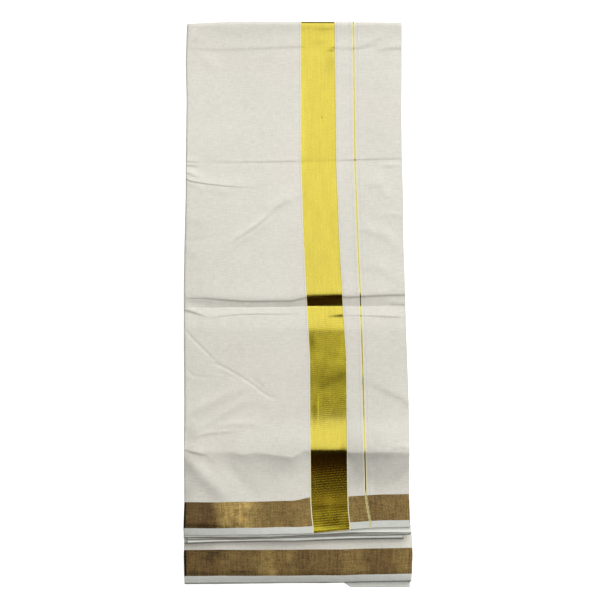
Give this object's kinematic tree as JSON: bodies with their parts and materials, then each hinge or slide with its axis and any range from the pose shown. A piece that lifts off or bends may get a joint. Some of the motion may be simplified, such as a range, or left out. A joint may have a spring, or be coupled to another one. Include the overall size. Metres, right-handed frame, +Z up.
{
  "type": "folded dhoti",
  "caption": "Long off-white cotton wrap cloth with a gold end band and bronze side borders, pressed and folded into a flat bundle.",
  "frame": {"origin": "middle of the bundle's flat underside", "axes": "+X across the bundle, from the layered left fold to the open right-hand side; +Y along the bundle, towards the fold that closes it at the top; +Z up, from the flat underside to the front face"},
  "size_m": [0.2571, 0.6399, 0.0154],
  "materials": {
    "outer_cotton": "matt plain-weave cotton",
    "inner_cotton": "matt plain-weave cotton"
  },
  "bodies": {
    "root": {"outer_layer": "outer_cotton", "inner_layers": "inner_cotton"}
  },
  "joints": []
}
